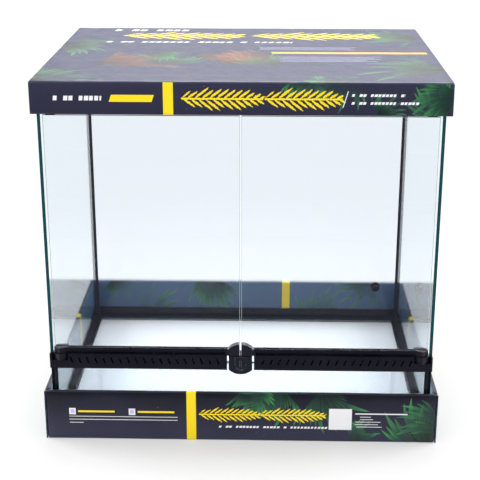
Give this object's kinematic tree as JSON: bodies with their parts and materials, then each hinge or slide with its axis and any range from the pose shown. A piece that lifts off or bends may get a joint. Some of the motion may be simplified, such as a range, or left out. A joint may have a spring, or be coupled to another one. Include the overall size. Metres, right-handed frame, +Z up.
{
  "type": "reptile terrarium",
  "caption": "Front-opening glass terrarium with hinged glass doors, slotted vent bar and lock lever, standing in a carton tray under a carton lid.",
  "frame": {"origin": "middle of the tray's underside, on the surface it stands on", "axes": "+X to the right seen from the doors, the doors face -Y, +Z up"},
  "size_m": [0.62, 0.47, 0.58],
  "materials": {
    "carton_board": "printed, satin varnish",
    "white_foam": "foam",
    "pane_glass": "polished float glass",
    "door_glass": "polished float glass",
    "black_silicone": "smooth",
    "black_rubber": "satin",
    "steel_pin": "drawn",
    "steel_mesh": "woven",
    "frame_plastic": "moulded, fine grain",
    "black_plastic": "moulded, satin"
  },
  "bodies": {
    "tray": {"tray_floor": "carton_board", "tray_front_wall": "carton_board", "tray_rear_wall": "carton_board", "tray_left_wall": "carton_board", "tray_right_wall": "carton_board", "floor_pad": "white_foam"},
    "tank": {"base_frame": "frame_plastic", "floor_glass": "pane_glass", "left_glass": "pane_glass", "right_glass": "pane_glass", "rear_glass": "pane_glass", "front_lower_glass": "pane_glass", "silicone_seams": "black_silicone", "port_grommet": "black_rubber", "vent_bar_left": "black_plastic", "vent_bar_right": "black_plastic", "vent_mesh_left": "steel_mesh", "vent_mesh_right": "steel_mesh", "hinge_socket_left": "black_plastic", "hinge_socket_right": "black_plastic", "lock_bracket": "black_plastic", "lock_pin": "steel_pin", "top_frame": "frame_plastic"},
    "left_door": {"door_glass_left": "door_glass", "door_rail_left": "black_plastic", "door_corner_left": "black_plastic", "door_catch_left": "black_plastic", "pivot_shoe_left": "black_plastic", "hinge_pins_left": "steel_pin"},
    "right_door": {"door_glass_right": "door_glass", "door_rail_right": "black_plastic", "door_corner_right": "black_plastic", "door_catch_right": "black_plastic", "pivot_shoe_right": "black_plastic", "hinge_pins_right": "steel_pin"},
    "lever": {"lock_lever": "black_plastic"},
    "plug": {"port_plug": "black_rubber"},
    "left_gate": {"inlet_gate_left": "black_plastic"},
    "right_gate": {"inlet_gate_right": "black_plastic"},
    "screen": {"screen_frame": "frame_plastic", "screen_mesh": "steel_mesh"},
    "lid": {"lid_top": "carton_board", "lid_front_wall": "carton_board", "lid_rear_wall": "carton_board", "lid_left_wall": "carton_board", "lid_right_wall": "carton_board"}
  },
  "joints": [
    {"name": "tank_lift", "type": "slide", "parent": "tray", "child": "tank", "axis": [0, 0, 1], "range_m": [0, 0.09]},
    {"name": "left_door_swing", "type": "hinge", "parent": "tank", "child": "left_door", "pos_m": [-0.282, -0.221, 0.1475], "axis": [0, 0, -1], "range_deg": [0, 110]},
    {"name": "right_door_swing", "type": "hinge", "parent": "tank", "child": "right_door", "pos_m": [0.282, -0.221, 0.1475], "axis": [0, 0, 1], "range_deg": [0, 110]},
    {"name": "lock_lever_tilt", "type": "hinge", "parent": "tank", "child": "lever", "pos_m": [0, -0.227, 0.1344], "axis": [-1, 0, 0], "range_deg": [0, 35]},
    {"name": "port_plug_pull", "type": "slide", "parent": "tank", "child": "plug", "axis": [0, -1, 0], "range_m": [0, 0.02]},
    {"name": "left_gate_slide", "type": "slide", "parent": "tank", "child": "left_gate", "axis": [1, 0, 0], "range_m": [0, 0.041]},
    {"name": "right_gate_slide", "type": "slide", "parent": "tank", "child": "right_gate", "axis": [-1, 0, 0], "range_m": [0, 0.041]},
    {"name": "screen_lift", "type": "slide", "parent": "tank", "child": "screen", "axis": [0, 0, 1], "range_m": [0, 0.03]},
    {"name": "lid_lift", "type": "slide", "parent": "screen", "child": "lid", "axis": [0, 0, 1], "range_m": [0, 0.055]}
  ]
}
